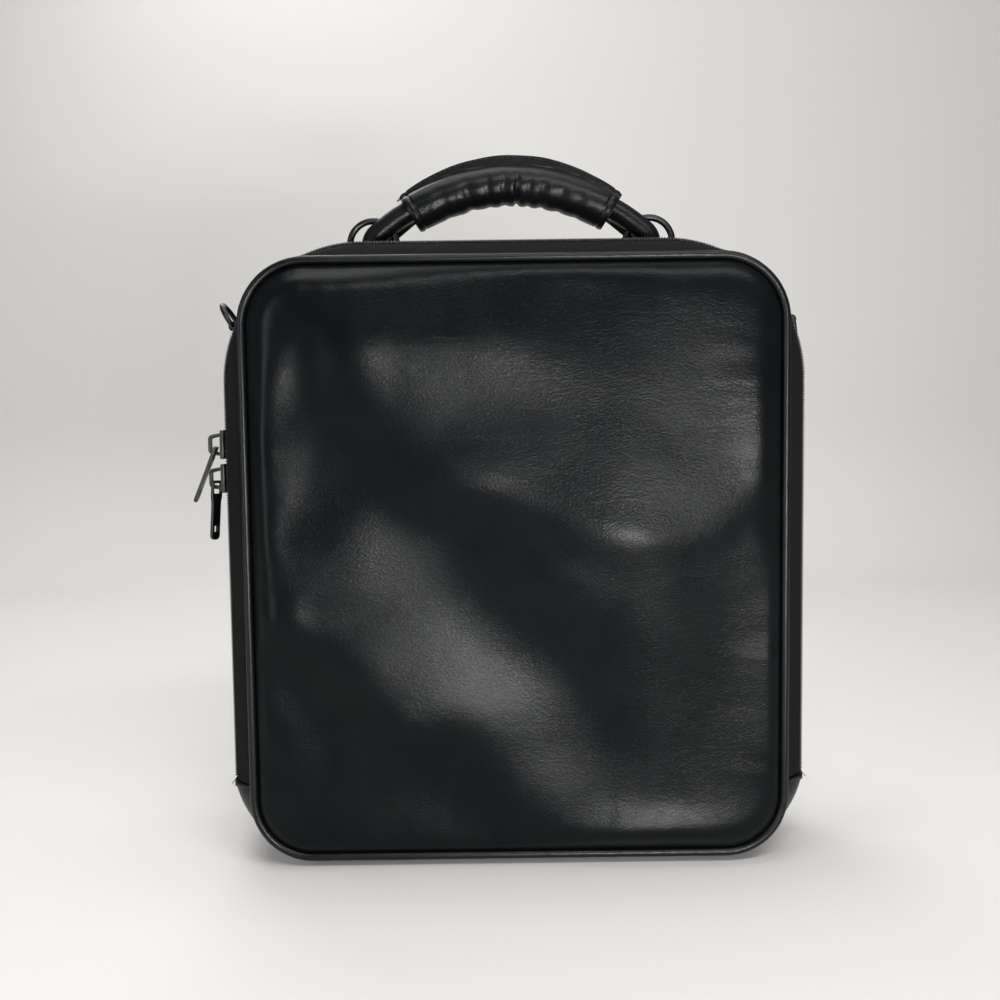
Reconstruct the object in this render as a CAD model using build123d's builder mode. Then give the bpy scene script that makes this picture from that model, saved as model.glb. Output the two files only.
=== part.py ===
from build123d import *

import os
from math import asin, atan2, cos, degrees, hypot, radians, sin

# Soft leather briefcase that zips open round its left side, its top and its right side.
# Its front panel falls forward about a fold near the base, and a rolled handle stands on the top.
# Millimetres, +Z up, the front faces -Y, and the origin is the middle of the flat base.

# Case over its piping
face_width = 317.0
face_height = 352.0
case_depth = 100.0
face_corner_radius = 40.0
piping_diameter = 5.0
base_drop = 5.0

# Walls and clearances
leather = 2.0
strap_leather = 1.9
skin_leather = 1.6
tape_thickness = 1.2
lining_thickness = 1.0
board_thickness = 1.9
sewn_gap = 0.3
fold_gap = 0.6
pad_gap = 0.2
running_clearance = 0.08
rivet_clearance = 0.05

# Zip line round the case
zip_setback = 20.0
zip_half_width = 170.5
zip_top = 367.0
zip_corner_radius = 82.0
coil_width = 2.4
coil_thickness = 2.2
coil_gap = 1.2
fold_height = 49.0

# Leather bands behind the zip and across the base, with their stations as places along Y
gusset_half_width = 169.5
gusset_top = 356.0
gusset_corner_radius = 30.0
gusset_front_y = -22.0
gusset_shoulder_y = -16.0
gusset_flat_front_y = 2.0
gusset_flat_back_y = 36.0
tab_stand_out = 1.0
base_corner_radius = 52.0
knee_margin = 1.0
tape_tuck = 5.5
edge_rise = 0.5

# Crown of the two panels, as inset from the rim and rise above it
front_crown = ((0.0, 0.0), (4.0, 3.5), (14.0, 6.0), (50.0, 8.0))
back_crown = ((0.0, 0.0), (6.0, 2.0), (40.0, 3.0))
rim_depth = 1.8
rim_setback = 2.0
crown_corner_share = 0.5
least_crown_corner = 4.0
board_margin = 3.5
lining_margin = 2.0

# Boards inside the base and under the handle
base_board_width = 220.0
base_board_thickness = 2.5
base_board_margin = 2.0
handle_plate_width = 210.0
handle_plate_depth = 26.0
handle_plate_thickness = 1.5

# Sliders and pulls
slider_length = 17.0
slider_width = 11.0
slider_tail_width = 8.0
slider_shoulder = 6.0
slider_plate = 2.2
slider_inner_plate = 1.8
slider_web = 0.6
slider_web_length = 7.0
slider_corner = 1.2
bridge_height = 7.8
bridge_thickness = 2.0
bridge_width = 3.0
bridge_foot = 14.0
bridge_crest = 11.0
bridge_corner = 3.2
bridge_inner_corner = 1.4
bridge_root_corner = 0.3
upper_slider_height = 250.0
lower_slider_height = 230.0
pull_length = 34.5
pull_width = 6.6
pull_head_width = 8.0
pull_thickness = 1.6
pull_eye_width = 5.4
pull_eye_end = 7.0
pull_head_end = 9.0
pull_neck_end = 12.0
pull_head_corner = 0.8
pull_neck_corner = 1.0
pull_eye_corner = 1.0
pull_tip_corner = 2.6
pull_pin_stand = 3.5
pull_pin_drop = 2.0
pull_slot_width = 2.4
pull_slot_length = 3.6
pull_slot_place = 28.0
upper_pull_tilt = 22.5
lower_pull_tilt = 4.0
lower_pull_twist = -30.0

# Rolled handle, with the bends of its core from the middle outwards and its tails' heights
# taken from the top of the case
handle_y = 22.0
grip_diameter = 24.5
grip_radius = 117.0
grip_rise = 52.5
grip_half_angle = 32.4
fin_stand = 6.25
fin_radius = 111.5
fin_half_width = 68.2
fin_thickness = 3.0
bore_overrun = 4.0
core_diameter = 14.0
core_rise_in_grip = 1.5
core_middle_radius = 130.0
core_middle_turn = 31.3
core_outer_radius = 110.0
core_outer_turn = 10.7
core_end_radius = 9.0
core_end_turn = 48.0
tail_thickness = 5.0
tail_width = 4.0
tail_low_x = -81.5
tail_low_rise = 16.0
tail_high_x = -58.0
tail_high_rise = 35.0
ring_centre_x = 86.5
ring_half_width = 14.6
ring_wire = 4.2
ring_corner = 4.0
ring_bow_height = 12.9
ring_seat_gap = 0.25
chape_width = 18.0
chape_length = 26.0
rivet_shank = 3.0
rivet_head = 6.0
rivet_head_thickness = 0.8
rivet_spacing = 18.0
rivet_bore_length = 8.0

# Side rings for a strap
side_ring_height = 322.0
side_ring_y = 15.0
side_ring_half_width = 12.0
side_ring_wire = 3.2
side_ring_corner = 3.0
side_ring_bow_height = 3.8
side_ring_leather = 1.4
side_chape_width = 17.0
side_chape_length = 32.0
side_rivet_drop = 20.0
left_ring_raise = 60.0
right_ring_raise = -81.0

# Places worked out from the sizes above
piping_radius = piping_diameter / 2
seam_half = face_width / 2 - piping_radius
seam_low = base_drop + piping_radius
seam_high = base_drop + face_height - piping_radius
seam_corner = face_corner_radius - piping_radius
seam_y = case_depth / 2 - piping_radius
edge_y = case_depth / 2 - piping_diameter - sewn_gap
edge_half = seam_half + piping_radius
edge_low = base_drop + edge_rise
edge_high = base_drop + face_height
edge_corner = face_corner_radius - edge_rise
rim_half = seam_half - piping_radius - sewn_gap
rim_low = seam_low + piping_radius + sewn_gap
rim_high = seam_high - piping_radius - sewn_gap
rim_corner = seam_corner - piping_radius - sewn_gap
rim_y = case_depth / 2 - rim_setback
rim_back_y = rim_y - rim_depth
board_y = rim_back_y - sewn_gap
zip_y = -(case_depth / 2 - zip_setback)
tape_half = zip_half_width - coil_thickness - sewn_gap
tape_top = zip_top - coil_thickness - sewn_gap
tape_corner = zip_corner_radius - coil_thickness - sewn_gap
tape_knee_y = zip_y - slider_width / 2 - knee_margin
tape_back_y = gusset_front_y + tape_tuck
over_tape = sewn_gap + leather
tab_half = zip_half_width + tab_stand_out
lining_half = tape_half - tape_thickness - sewn_gap
plate_top = gusset_top - leather - sewn_gap
plate_low = plate_top - handle_plate_thickness
bar_height = gusset_top + ring_wire / 2 + running_clearance + strap_leather
grip_centre_height = gusset_top + grip_rise
core_centre_height = grip_centre_height + core_rise_in_grip
fin_top_height = grip_centre_height + grip_diameter / 2 + fin_stand
side_loop_radius = side_ring_wire / 2 + running_clearance + side_ring_leather
side_bar_x = gusset_half_width + side_loop_radius

os.makedirs("parts", exist_ok=True)


def section(y, half, low, high, low_corner, high_corner):
    """Rounded rectangle about x = 0 in the plane at y."""
    with BuildSketch(Plane.XZ.offset(-y)) as drawn:
        with BuildLine():
            FilletPolyline(
                (half, low),
                (half, high),
                (-half, high),
                (-half, low),
                radius=[low_corner, high_corner, high_corner, low_corner],
                close=True,
            )
        make_face()
    return drawn.sketch


def drawn_in(station, wall):
    """The same station with its outline moved inward by wall."""
    y, half, low, high, low_corner, high_corner = station
    return (y, half - wall, low + wall, high - wall, low_corner - wall, high_corner - wall)


def band(stations, wall):
    """Wall that follows the stations from the first plane to the last."""
    outer = [section(*station) for station in stations]
    inner = [section(*drawn_in(station, wall)) for station in stations]
    with BuildPart() as made:
        loft(sections=outer, ruled=True)
        loft(sections=inner, ruled=True, mode=Mode.SUBTRACT)
    return made.part


def kept_at_fold(solid, side):
    """The stretch of a solid above the fold for side 1, or below it for side -1."""
    keep = Keep.TOP if side > 0 else Keep.BOTTOM
    with BuildPart() as kept:
        add(solid)
        split(bisect_by=Plane.XY.offset(fold_height + side * fold_gap / 2), keep=keep)
    return kept.part


def piping(side):
    """Round piping sewn all round one panel, in front for side -1 and behind for side 1."""
    with BuildPart() as made:
        with BuildLine(Plane.XZ.offset(-side * seam_y)) as seam:
            FilletPolyline(
                (seam_half, seam_low),
                (seam_half, seam_high),
                (-seam_half, seam_high),
                (-seam_half, seam_low),
                radius=seam_corner,
                close=True,
            )
        path = seam.wire()
        with BuildSketch(Plane(origin=path @ 0, z_dir=path % 0)):
            Circle(piping_radius)
        sweep(path=path)
    return made.part


def crown_section(side, y, inset):
    """Outline of a crowned panel, drawn in from its rim by inset."""
    corner = max(rim_corner - crown_corner_share * inset, least_crown_corner)
    return section(
        side * y, rim_half - inset, rim_low + inset, rim_high - inset, corner, corner
    )


def crowned(side, crown, wall):
    """Crowned solid under the skin of one panel, sunk by wall all round."""
    sections = [crown_section(side, rim_back_y, wall)]
    for inset, rise in crown[1:]:
        sections.append(crown_section(side, rim_y + rise - wall, inset + wall))
    with BuildPart() as made:
        loft(sections=sections, ruled=True)
    return made.part


def crowned_skin(side, crown):
    """Leather skin of one panel, with a square rim beside the piping and a hollow behind."""
    sections = [crown_section(side, rim_back_y, 0.0)]
    for inset, rise in crown:
        sections.append(crown_section(side, rim_y + rise, inset))
    with BuildPart() as made:
        loft(sections=sections, ruled=True)
        add(crowned(side, crown, skin_leather), mode=Mode.SUBTRACT)
    return made.part


def plate(front_y, thickness, margin):
    """Flat sheet of the panel's outline less a margin, from front_y backwards."""
    sheet = section(
        front_y + thickness,
        rim_half - margin,
        rim_low + margin,
        rim_high - margin,
        rim_corner - margin,
        rim_corner - margin,
    )
    with BuildPart() as made:
        extrude(sheet, amount=thickness)
    return made.part


def bent_ring(plane, half_width, corner, bow_height, wire_radius):
    """Wire ring with a straight bar on the plane's X axis and a round bow above it."""
    with BuildPart() as made:
        with BuildLine(plane) as bend:
            bar = Line((0, 0), (half_width - corner, 0))
            first_corner = JernArc(bar @ 1, bar % 1, corner, 90)
            first_leg = Line(first_corner @ 1, (half_width, bow_height))
            bow = JernArc(first_leg @ 1, first_leg % 1, half_width, 180)
            second_leg = Line(bow @ 1, (-half_width, corner))
            second_corner = JernArc(second_leg @ 1, second_leg % 1, corner, 90)
            Line(second_corner @ 1, (0, 0))
        path = bend.wire()
        with BuildSketch(Plane(origin=path @ 0, z_dir=path % 0)):
            Circle(wire_radius)
        sweep(path=path)
    return made.part


# Leather gusset from the zip back to the rear piping, over both sides and the top, with the holes
# for the rivets of the handle and of the side rings.
back_edge = (edge_y, edge_half, edge_low, edge_high, edge_corner, edge_corner)
gusset_over_zip = (
    tape_half + over_tape,
    0.0,
    tape_top + over_tape,
    base_corner_radius,
    tape_corner + over_tape,
)
gusset_over_flat = (
    gusset_half_width, 0.0, gusset_top, base_corner_radius, gusset_corner_radius
)
gusset_stations = (
    (gusset_front_y, *gusset_over_zip),
    (gusset_shoulder_y, *gusset_over_zip),
    (gusset_flat_front_y, *gusset_over_flat),
    (gusset_flat_back_y, *gusset_over_flat),
    back_edge,
)
with BuildPart() as gusset:
    add(kept_at_fold(band(gusset_stations, leather), 1))
    with Locations((0, handle_y, plate_top)):
        with GridLocations(2 * ring_centre_x, rivet_spacing, 2, 2):
            Cylinder(rivet_shank / 2 + rivet_clearance, rivet_bore_length, mode=Mode.SUBTRACT)
    with BuildSketch(Plane.YZ):
        with Locations((side_ring_y, side_ring_height - side_rivet_drop)):
            Circle(rivet_shank / 2 + rivet_clearance)
    extrude(amount=2 * gusset_half_width, both=True, mode=Mode.SUBTRACT)
gusset.part.label = "gusset"
export_step(gusset.part, "parts/gusset.step")

# Leather band across the base, from one panel to the other. Its ends are the short tabs that
# cover the ends of the zip, and it bends where the front panel folds down.
tab_outline = (tab_half, 0.0, zip_top, base_corner_radius, zip_corner_radius)
flank_outline = (
    gusset_half_width + tab_stand_out, 0.0, zip_top, base_corner_radius, zip_corner_radius
)
base_stations = (
    (-edge_y, edge_half, edge_low, edge_high, edge_corner, edge_corner),
    (tape_knee_y, *tab_outline),
    (gusset_shoulder_y, *tab_outline),
    (gusset_flat_front_y, *flank_outline),
    (gusset_flat_back_y, *flank_outline),
    back_edge,
)
with BuildPart() as bottom_gusset:
    add(kept_at_fold(band(base_stations, leather), -1))
bottom_gusset.part.label = "bottom_gusset"
export_step(bottom_gusset.part, "parts/bottom_gusset.step")

# Woven tapes of the zip. The front one slopes out from the panel's seam and belongs to the lid,
# and the rear one is tucked under the gusset.
tape_outline = (tape_half, base_drop, tape_top, base_corner_radius, tape_corner)
with BuildPart() as zip_tape_front:
    front_tape_stations = (
        (-edge_y, edge_half, edge_low, edge_high, edge_corner, edge_corner),
        (tape_knee_y, *tape_outline),
        (zip_y - coil_gap / 2, *tape_outline),
    )
    add(kept_at_fold(band(front_tape_stations, tape_thickness), 1))
zip_tape_front.part.label = "zip_tape_front"
export_step(zip_tape_front.part, "parts/zip_tape_front.step")

with BuildPart() as zip_tape_rear:
    rear_tape_stations = (
        (zip_y + coil_gap / 2, *tape_outline),
        (tape_back_y, *tape_outline),
    )
    add(kept_at_fold(band(rear_tape_stations, tape_thickness), 1))
zip_tape_rear.part.label = "zip_tape_rear"
export_step(zip_tape_rear.part, "parts/zip_tape_rear.step")

# The two halves of the zip's coil, each a strip as wide as half the closed chain.
coil_outline = (zip_half_width, base_drop, zip_top, base_corner_radius, zip_corner_radius)
for side, name in ((-1, "zip_coil_front"), (1, "zip_coil_rear")):
    near_y = zip_y + side * coil_gap / 2
    far_y = near_y + side * coil_width
    with BuildPart() as coil:
        add(
            kept_at_fold(
                band(((near_y, *coil_outline), (far_y, *coil_outline)), coil_thickness), 1
            )
        )
    coil.part.label = name
    export_step(coil.part, f"parts/{name}.step")

# Front panel: leather skin over foam, with a board and a cloth lining behind the part that opens.
front_skin = crowned_skin(-1, front_crown)
front_foam = crowned(-1, front_crown, skin_leather + pad_gap)
with BuildPart() as front_panel:
    add(kept_at_fold(front_skin, 1))
front_panel.part.label = "front_panel"
export_step(front_panel.part, "parts/front_panel.step")

with BuildPart() as front_panel_foot:
    add(kept_at_fold(front_skin, -1))
front_panel_foot.part.label = "front_panel_foot"
export_step(front_panel_foot.part, "parts/front_panel_foot.step")

with BuildPart() as front_padding:
    add(kept_at_fold(front_foam, 1))
front_padding.part.label = "front_padding"
export_step(front_padding.part, "parts/front_padding.step")

with BuildPart() as foot_padding:
    add(kept_at_fold(front_foam, -1))
foot_padding.part.label = "foot_padding"
export_step(foot_padding.part, "parts/foot_padding.step")

with BuildPart() as lid_board:
    add(kept_at_fold(plate(-board_y, board_thickness, board_margin), 1))
lid_board.part.label = "lid_board"
export_step(lid_board.part, "parts/lid_board.step")

with BuildPart() as lid_lining:
    lid_lining_y = -board_y + board_thickness + pad_gap
    add(kept_at_fold(plate(lid_lining_y, lining_thickness, lining_margin), 1))
lid_lining.part.label = "lid_lining"
export_step(lid_lining.part, "parts/lid_lining.step")

# Piping round the front panel, in one stretch above the fold and one below it.
front_piping_ring = piping(-1)
with BuildPart() as front_piping:
    add(kept_at_fold(front_piping_ring, 1))
front_piping.part.label = "front_piping"
export_step(front_piping.part, "parts/front_piping.step")

with BuildPart() as front_piping_foot:
    add(kept_at_fold(front_piping_ring, -1))
front_piping_foot.part.label = "front_piping_foot"
export_step(front_piping_foot.part, "parts/front_piping_foot.step")

# Back panel: skin, foam and board, with its own piping.
with BuildPart() as back_panel:
    add(crowned_skin(1, back_crown))
back_panel.part.label = "back_panel"
export_step(back_panel.part, "parts/back_panel.step")

with BuildPart() as back_padding:
    add(crowned(1, back_crown, skin_leather + pad_gap))
back_padding.part.label = "back_padding"
export_step(back_padding.part, "parts/back_padding.step")

with BuildPart() as back_board:
    add(plate(board_y - board_thickness, board_thickness, board_margin))
back_board.part.label = "back_board"
export_step(back_board.part, "parts/back_board.step")

with BuildPart() as back_piping:
    add(piping(1))
back_piping.part.label = "back_piping"
export_step(back_piping.part, "parts/back_piping.step")

# Stiff board that keeps the base flat.
with BuildPart() as base_board:
    base_board_y = (tape_knee_y + gusset_flat_back_y) / 2
    base_board_depth = gusset_flat_back_y - tape_knee_y - 2 * base_board_margin
    with Locations((0, base_board_y, leather + sewn_gap)):
        Box(
            base_board_width,
            base_board_depth,
            base_board_thickness,
            align=(Align.CENTER, Align.CENTER, Align.MIN),
        )
base_board.part.label = "base_board"
export_step(base_board.part, "parts/base_board.step")

# Cloth lining of the case, open to the front: it lies inside the zip's tape, the gusset, the
# boards and the rivet heads.
lining_low = leather + base_board_thickness + 2 * sewn_gap
lining_high = plate_low - rivet_head_thickness - 2 * sewn_gap
lining_front_y = gusset_front_y - lining_thickness
lining_back_y = board_y - board_thickness - sewn_gap
lining_at_zip = (
    lining_half,
    lining_low,
    tape_top - tape_thickness - sewn_gap,
    base_corner_radius - leather,
    tape_corner - tape_thickness - sewn_gap,
)
lining_at_flat = (
    lining_half,
    lining_low,
    lining_high,
    base_corner_radius - leather,
    gusset_corner_radius + leather,
)
lining_at_back = (
    edge_half - leather - sewn_gap,
    edge_low + leather,
    lining_high,
    edge_corner,
    edge_corner,
)
lining_front_stations = (
    (lining_front_y, *lining_at_zip),
    (tape_back_y, *lining_at_zip),
    (gusset_flat_front_y + lining_thickness, *lining_at_flat),
    (gusset_flat_back_y - lining_thickness, *lining_at_flat),
)
lining_stations = (*lining_front_stations, (lining_back_y, *lining_at_back))
hollow_stations = (
    *lining_front_stations,
    (lining_back_y - lining_thickness, *lining_at_back),
)
with BuildPart() as case_lining:
    loft(sections=[section(*station) for station in lining_stations], ruled=True)
    loft(
        sections=[section(*drawn_in(station, lining_thickness)) for station in hollow_stations],
        ruled=True,
        mode=Mode.SUBTRACT,
    )
case_lining.part.label = "case_lining"
export_step(case_lining.part, "parts/case_lining.step")

# Stiffening strip under the top of the gusset, which the handle's rivets pull against.
with BuildPart() as handle_plate:
    with Locations((0, handle_y, plate_low)):
        Box(
            handle_plate_width,
            handle_plate_depth,
            handle_plate_thickness,
            align=(Align.CENTER, Align.CENTER, Align.MIN),
        )
    with Locations((0, handle_y, plate_low)):
        with GridLocations(2 * ring_centre_x, rivet_spacing, 2, 2):
            Cylinder(rivet_shank / 2 + rivet_clearance, rivet_bore_length, mode=Mode.SUBTRACT)
handle_plate.part.label = "handle_plate"
export_step(handle_plate.part, "parts/handle_plate.step")

# Leather chapes that hold the handle's rings: a strap wrapped round the ring's bar and riveted
# down in front of it and behind it.
for side, name in ((-1, "handle_chape_left"), (1, "handle_chape_right")):
    with BuildPart() as chape:
        with Locations((side * ring_centre_x, handle_y, gusset_top)):
            Box(
                chape_width,
                chape_length,
                strap_leather,
                align=(Align.CENTER, Align.CENTER, Align.MIN),
            )
            with GridLocations(chape_width, rivet_spacing, 1, 2):
                Cylinder(rivet_shank / 2 + rivet_clearance, rivet_bore_length, mode=Mode.SUBTRACT)
        with BuildSketch(Plane.YZ.offset(side * ring_centre_x)):
            with Locations((handle_y, bar_height)):
                Circle(bar_height - gusset_top)
        extrude(amount=chape_width / 2, both=True)
        with BuildSketch(Plane.YZ.offset(side * ring_centre_x)):
            with Locations((handle_y, bar_height)):
                Circle(ring_wire / 2 + running_clearance)
        extrude(amount=chape_width, both=True, mode=Mode.SUBTRACT)
    chape.part.label = name
    export_step(chape.part, f"parts/{name}.step")

# Rivets through the handle's chapes, the gusset and the stiffening strip.
with BuildPart() as handle_rivets:
    with Locations((0, handle_y, plate_low)):
        with GridLocations(2 * ring_centre_x, rivet_spacing, 2, 2):
            Cylinder(
                rivet_shank / 2,
                gusset_top + strap_leather - plate_low,
                align=(Align.CENTER, Align.CENTER, Align.MIN),
            )
            Cylinder(
                rivet_head / 2,
                rivet_head_thickness,
                align=(Align.CENTER, Align.CENTER, Align.MAX),
            )
    with Locations((0, handle_y, gusset_top + strap_leather)):
        with GridLocations(2 * ring_centre_x, rivet_spacing, 2, 2):
            Cylinder(
                rivet_head / 2,
                rivet_head_thickness,
                align=(Align.CENTER, Align.CENTER, Align.MIN),
            )
handle_rivets.part.label = "handle_rivets"
export_step(handle_rivets.part, "parts/handle_rivets.step")

# Leather chapes of the side rings: a folded strap, two layers thick, hanging from the ring's bar.
for side, name in ((-1, "side_chape_left"), (1, "side_chape_right")):
    tab_low = side_ring_height - side_chape_length
    tab_outer = gusset_half_width + 2 * side_ring_leather
    with BuildPart() as chape:
        with BuildSketch(Plane.XZ.offset(-side_ring_y)):
            with BuildLine():
                Polyline(
                    (side * gusset_half_width, tab_low),
                    (side * tab_outer, tab_low),
                    (side * tab_outer, side_ring_height),
                    (side * gusset_half_width, side_ring_height),
                    close=True,
                )
            make_face()
            with Locations((side * side_bar_x, side_ring_height)):
                Circle(side_loop_radius)
                Circle(side_ring_wire / 2 + running_clearance, mode=Mode.SUBTRACT)
        extrude(amount=side_chape_width / 2, both=True)
        with BuildSketch(Plane.YZ):
            with Locations((side_ring_y, side_ring_height - side_rivet_drop)):
                Circle(rivet_shank / 2 + rivet_clearance)
        extrude(amount=2 * gusset_half_width, both=True, mode=Mode.SUBTRACT)
    chape.part.label = name
    export_step(chape.part, f"parts/{name}.step")

# Rivets through the side chapes and the gusset.
with BuildPart() as side_rivets:
    rivet_profile = (
        (gusset_half_width - leather - rivet_head_thickness, rivet_head_thickness, rivet_head),
        (gusset_half_width - leather, leather + 2 * side_ring_leather, rivet_shank),
        (gusset_half_width + 2 * side_ring_leather, rivet_head_thickness, rivet_head),
    )
    for start, length, diameter in rivet_profile:
        with BuildSketch(Plane.YZ.offset(start)):
            with Locations((side_ring_y, side_ring_height - side_rivet_drop)):
                Circle(diameter / 2)
        extrude(amount=length)
    mirror(about=Plane.YZ)
side_rivets.part.label = "side_rivets"
export_step(side_rivets.part, "parts/side_rivets.step")

# Side rings. The left one stands up and out, and the right one hangs beside its chape.
side_rings = (
    (-1, "side_ring_left", left_ring_raise),
    (1, "side_ring_right", right_ring_raise),
)
for side, name, ring_raise in side_rings:
    out = side * cos(radians(ring_raise))
    up = sin(radians(ring_raise))
    ring_plane = Plane(
        origin=(side * side_bar_x, side_ring_y, side_ring_height),
        x_dir=(0, 1, 0),
        z_dir=(up, 0, -out),
    )
    with BuildPart() as side_ring:
        add(
            bent_ring(
                ring_plane,
                side_ring_half_width,
                side_ring_corner,
                side_ring_bow_height,
                side_ring_wire / 2,
            )
        )
    side_ring.part.label = name
    export_step(side_ring.part, f"parts/{name}.step")

# Rings that carry the handle, each with its straight bar in a chape.
for side, name in ((-1, "handle_ring_left"), (1, "handle_ring_right")):
    ring_plane = Plane(
        origin=(side * ring_centre_x, handle_y, bar_height), x_dir=(1, 0, 0), z_dir=(0, -1, 0)
    )
    with BuildPart() as handle_ring:
        add(
            bent_ring(
                ring_plane, ring_half_width, ring_corner, ring_bow_height, ring_wire / 2
            )
        )
    handle_ring.part.label = name
    export_step(handle_ring.part, f"parts/{name}.step")

# Rolled core of the handle. Each end passes round its ring and comes back as a flat tail behind
# the ring to the end of the grip.
tail_run = (tail_high_x - tail_low_x, tail_high_rise - tail_low_rise)
tail_middle = (
    (tail_high_x + tail_low_x) / 2,
    gusset_top + (tail_high_rise + tail_low_rise) / 2,
)
tail_back_y = handle_y + ring_wire / 2 + 2 * sewn_gap + tail_width
grip_end_x = -grip_radius * sin(radians(grip_half_angle))
grip_end_z = grip_centre_height - grip_radius * (1 - cos(radians(grip_half_angle)))
grip_end_plane = Plane(
    origin=(
        grip_end_x - sewn_gap * cos(radians(grip_half_angle)),
        handle_y,
        grip_end_z - sewn_gap * sin(radians(grip_half_angle)),
    ),
    z_dir=(-cos(radians(grip_half_angle)), 0, -sin(radians(grip_half_angle))),
)
with BuildPart() as core_tail:
    with BuildSketch(Plane.XZ.offset(-tail_back_y)):
        with Locations(tail_middle):
            SlotCenterToCenter(
                hypot(*tail_run),
                tail_thickness,
                rotation=degrees(atan2(tail_run[1], tail_run[0])),
            )
    extrude(amount=tail_width)
    split(bisect_by=grip_end_plane, keep=Keep.TOP)

left_ring_plane = Plane(
    origin=(-ring_centre_x, handle_y, bar_height), x_dir=(1, 0, 0), z_dir=(0, -1, 0)
)
ring_room = bent_ring(
    left_ring_plane,
    ring_half_width,
    ring_corner,
    ring_bow_height,
    ring_wire / 2 + ring_seat_gap,
)
with BuildPart() as handle_core:
    with BuildLine(Plane.XZ.offset(-handle_y)) as core_line:
        middle_bend = JernArc(
            (0, core_centre_height), (-1, 0), core_middle_radius, core_middle_turn
        )
        outer_bend = JernArc(
            middle_bend @ 1, middle_bend % 1, core_outer_radius, core_outer_turn
        )
        end_bend = JernArc(outer_bend @ 1, outer_bend % 1, core_end_radius, core_end_turn)
    core_path = core_line.wire()
    with BuildSketch(Plane(origin=core_path @ 0, z_dir=core_path % 0)):
        Circle(core_diameter / 2)
    sweep(path=core_path)
    with Locations(core_path @ 1):
        Sphere(core_diameter / 2)
    add(core_tail.part)
    add(ring_room, mode=Mode.SUBTRACT)
    mirror(about=Plane.YZ)
handle_core.part.label = "handle_core"
export_step(handle_core.part, "parts/handle_core.step")

# Leather grip wrapped round the core, with its sewn edge standing up as a fin along the top.
fin_centre = fin_top_height - fin_radius
fin_half_angle = degrees(asin(fin_half_width / fin_radius))
grip_centre = grip_centre_height - grip_radius
core_centre = core_centre_height - core_middle_radius
bore_half_angle = grip_half_angle + bore_overrun
with BuildPart() as grip_cover:
    with BuildLine(Plane.XZ.offset(-handle_y)) as grip_line:
        CenterArc((0, grip_centre), grip_radius, 90 - grip_half_angle, 2 * grip_half_angle)
    grip_path = grip_line.wire()
    with BuildSketch(Plane(origin=grip_path @ 0, z_dir=grip_path % 0)):
        Circle(grip_diameter / 2)
    sweep(path=grip_path)
    with BuildSketch(Plane.XZ.offset(-handle_y)):
        with BuildLine():
            fin_edge = CenterArc(
                (0, fin_centre), fin_radius, 90 - fin_half_angle, 2 * fin_half_angle
            )
            root_edge = CenterArc(
                (0, grip_centre), grip_radius, 90 - grip_half_angle, 2 * grip_half_angle
            )
            Line(fin_edge @ 0, root_edge @ 0)
            Line(fin_edge @ 1, root_edge @ 1)
        make_face()
    extrude(amount=fin_thickness / 2, both=True)
    with BuildLine(Plane.XZ.offset(-handle_y)) as bore_line:
        CenterArc(
            (0, core_centre), core_middle_radius, 90 - bore_half_angle, 2 * bore_half_angle
        )
    bore_path = bore_line.wire()
    with BuildSketch(Plane(origin=bore_path @ 0, z_dir=bore_path % 0)):
        Circle(core_diameter / 2 + sewn_gap)
    sweep(path=bore_path, mode=Mode.SUBTRACT)
grip_cover.part.label = "grip_cover"
export_step(grip_cover.part, "parts/grip_cover.step")

# Sliders on the left run of the zip, nose to nose. Each is two plates joined by a thin wedge
# between the two halves of the coil, with a bridge on the outer plate.
slider_outer_x = -(zip_half_width + sewn_gap)
slider_face_x = slider_outer_x - slider_plate
slider_inner_x = -(tape_half - tape_thickness - sewn_gap)
bridge_top_x = slider_face_x - bridge_height
bridge_root_x = slider_face_x + slider_plate / 2
pull_pin_x = slider_face_x - pull_pin_stand


def slider_outline(x, height, mouth):
    """Outline of a slider's plate in the plane at x, narrower towards its tail."""
    wide = slider_width / 2
    narrow = slider_tail_width / 2
    tail_z = height - mouth * slider_length / 2
    shoulder_z = tail_z + mouth * slider_shoulder
    mouth_z = height + mouth * slider_length / 2
    with BuildSketch(Plane.YZ.offset(x)) as outline:
        with BuildLine():
            Polyline(
                (zip_y - narrow, tail_z),
                (zip_y + narrow, tail_z),
                (zip_y + wide, shoulder_z),
                (zip_y + wide, mouth_z),
                (zip_y - wide, mouth_z),
                (zip_y - wide, shoulder_z),
                close=True,
            )
        make_face()
        fillet(outline.vertices(), slider_corner)
    return outline.sketch


def slider(height, mouth):
    """Slider centred at height, its wide mouth up for mouth 1 or down for mouth -1."""
    outer_plate = slider_outline(slider_face_x, height, mouth)
    inner_plate = slider_outline(slider_inner_x, height, mouth)
    web_z = height + mouth * (slider_length - slider_web_length) / 2
    with BuildPart() as made:
        extrude(outer_plate, amount=slider_plate)
        extrude(inner_plate, amount=slider_inner_plate)
        with Locations((slider_outer_x, zip_y, web_z)):
            Box(
                slider_inner_x - slider_outer_x,
                slider_web,
                slider_web_length,
                align=(Align.MIN, Align.CENTER, Align.CENTER),
            )
        with BuildSketch(Plane.XZ.offset(-zip_y)):
            for inset, corner, mode in (
                (0.0, bridge_corner, Mode.ADD),
                (bridge_thickness, bridge_inner_corner, Mode.SUBTRACT),
            ):
                foot = bridge_foot / 2 - inset
                crest = bridge_crest / 2 - inset
                with BuildLine():
                    FilletPolyline(
                        (bridge_root_x, height - foot),
                        (bridge_top_x + inset, height - crest),
                        (bridge_top_x + inset, height + crest),
                        (bridge_root_x, height + foot),
                        radius=[bridge_root_corner, corner, corner, bridge_root_corner],
                        close=True,
                    )
                make_face(mode=mode)
        extrude(amount=bridge_width / 2, both=True)
    return made.part


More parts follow.
